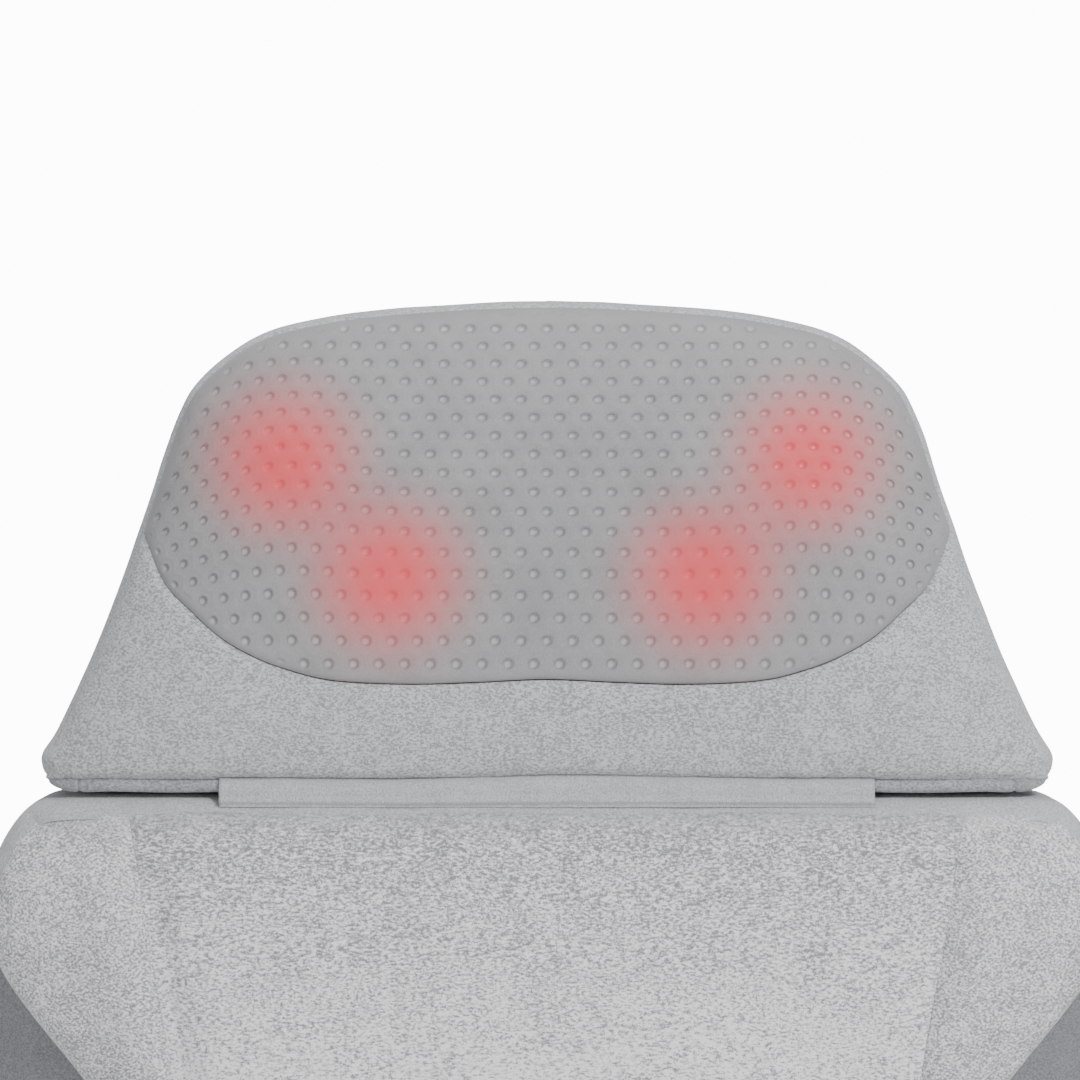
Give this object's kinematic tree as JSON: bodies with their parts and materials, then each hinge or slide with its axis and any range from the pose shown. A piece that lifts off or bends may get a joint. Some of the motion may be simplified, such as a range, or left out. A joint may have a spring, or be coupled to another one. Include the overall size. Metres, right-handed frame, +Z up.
{
  "type": "shiatsu neck massager",
  "caption": "Bell-shaped padded neck massager with a dimpled front panel and rotating heated node arms, hinged by a fabric flap on a back cushion.",
  "frame": {"origin": "centre of the bounding box, on the floor that the cushion stands on", "axes": "+X to the right, +Y to the back, +Z up; the front faces -Y"},
  "size_m": [0.4784, 0.12, 0.4245],
  "materials": {
    "light_fabric": "light grey heather knit",
    "panel_mesh": "smooth grey mesh, embossed with dimples",
    "rear_fabric": "plain grey lining cloth",
    "foam": "open-cell upholstery foam, plain",
    "strap_webbing": "woven elastic webbing",
    "zip_tape": "zip tape with moulded teeth",
    "case_plastic": "textured moulded plastic",
    "dark_plastic": "fine-grained moulded plastic",
    "button_plastic": "smooth plastic",
    "cap_red": "translucent red plastic",
    "gear_nylon": "natural nylon",
    "circuit_board": "solder-masked board",
    "wire": "insulated wire",
    "steel": "plain machined",
    "bush_brass": "sintered bronze",
    "slip_copper": "turned copper",
    "zip_metal": "nickel plated"
  },
  "bodies": {
    "cushion": {"cushion_core": "foam", "cushion_front_panel": "light_fabric", "cushion_wings": "light_fabric", "cushion_gusset": "light_fabric", "cushion_rear_cover": "rear_fabric", "hinge_flap": "light_fabric", "chair_strap": "strap_webbing", "zip_track": "zip_tape"},
    "neck_unit": {"case_screws": "steel", "control_board": "circuit_board", "control_pod": "dark_plastic", "dimple_panel": "panel_mesh", "front_foam_sheet": "foam", "front_frame": "case_plastic", "gearbox_screws": "steel", "inlet_nut": "steel", "left_gearbox_base": "case_plastic", "left_gearbox_cover": "case_plastic", "motor_can": "steel", "motor_clamp": "case_plastic", "motor_screws": "steel", "neck_bottom_cover": "light_fabric", "neck_foam": "foam", "neck_gusset": "light_fabric", "neck_lower_front": "light_fabric", "neck_rear_cover": "light_fabric", "output_bushes": "bush_brass", "power_inlet": "dark_plastic", "power_switch": "dark_plastic", "rear_shell": "case_plastic", "right_gearbox_base": "case_plastic", "right_gearbox_cover": "case_plastic", "slip_rings": "slip_copper", "wiring": "wire", "worm_bushes": "bush_brass"},
    "motor_rotor": {"motor_shaft": "steel", "motor_armature": "steel", "left_worm": "steel", "right_worm": "steel"},
    "left_arm": {"left_worm_wheel": "gear_nylon", "left_output_shaft": "steel", "left_arm_plate": "steel", "left_node_axles": "steel", "left_led_boards": "circuit_board"},
    "left_upper_head": {"left_upper_node_hub": "case_plastic", "left_upper_node_cap": "cap_red"},
    "left_lower_head": {"left_lower_node_hub": "case_plastic", "left_lower_node_cap": "cap_red"},
    "right_arm": {"right_worm_wheel": "gear_nylon", "right_output_shaft": "steel", "right_arm_plate": "steel", "right_node_axles": "steel", "right_led_boards": "circuit_board"},
    "right_upper_head": {"right_upper_node_hub": "case_plastic", "right_upper_node_cap": "cap_red"},
    "right_lower_head": {"right_lower_node_hub": "case_plastic", "right_lower_node_cap": "cap_red"},
    "power_button": {"power_button": "button_plastic"},
    "zip_slider": {"zip_slider": "zip_metal"},
    "zip_pull": {"zip_pull": "zip_metal"}
  },
  "joints": [
    {"name": "neck_fold", "type": "hinge", "parent": "cushion", "child": "neck_unit", "pos_m": [0, -0.0515, 0.2205], "axis": [1, 0, 0], "range_deg": [0, 120], "deforming": ["hinge_flap"]},
    {"name": "left_arm_spin", "type": "hinge", "parent": "neck_unit", "child": "left_arm", "pos_m": [-0.085, 0.01, 0.3325], "axis": [0, 1, 0], "continuous": true},
    {"name": "left_upper_head_spin", "type": "hinge", "parent": "left_arm", "child": "left_upper_head", "pos_m": [-0.10608, -0.03, 0.35591], "axis": [0, 1, 0], "continuous": true},
    {"name": "left_lower_head_spin", "type": "hinge", "parent": "left_arm", "child": "left_lower_head", "pos_m": [-0.06392, -0.03, 0.30909], "axis": [0, 1, 0], "continuous": true},
    {"name": "right_arm_spin", "type": "hinge", "parent": "neck_unit", "child": "right_arm", "pos_m": [0.085, 0.01, 0.3325], "axis": [0, 1, 0], "continuous": true},
    {"name": "right_upper_head_spin", "type": "hinge", "parent": "right_arm", "child": "right_upper_head", "pos_m": [0.10608, -0.03, 0.35591], "axis": [0, 1, 0], "continuous": true},
    {"name": "right_lower_head_spin", "type": "hinge", "parent": "right_arm", "child": "right_lower_head", "pos_m": [0.06392, -0.03, 0.30909], "axis": [0, 1, 0], "continuous": true},
    {"name": "motor_spin", "type": "hinge", "parent": "neck_unit", "child": "motor_rotor", "pos_m": [0, 0.01, 0.30825], "axis": [1, 0, 0], "continuous": true},
    {"name": "power_press", "type": "slide", "parent": "neck_unit", "child": "power_button", "axis": [0, -1, 0], "range_m": [0, 0.001], "stiffness_N_per_m": 400, "springref_m": -0.001},
    {"name": "zip_travel", "type": "slide", "parent": "cushion", "child": "zip_slider", "axis": [1, 0, 0], "range_m": [0, 0.236]},
    {"name": "pull_swing", "type": "hinge", "parent": "zip_slider", "child": "zip_pull", "pos_m": [-0.118, 0.0583, 0.06], "axis": [1, 0, 0], "range_deg": [0, 150]}
  ],
  "couplings": [
    {"joint": "right_arm_spin", "follows": "left_arm_spin", "ratio": -1},
    {"joint": "motor_spin", "follows": "left_arm_spin", "ratio": -40}
  ]
}
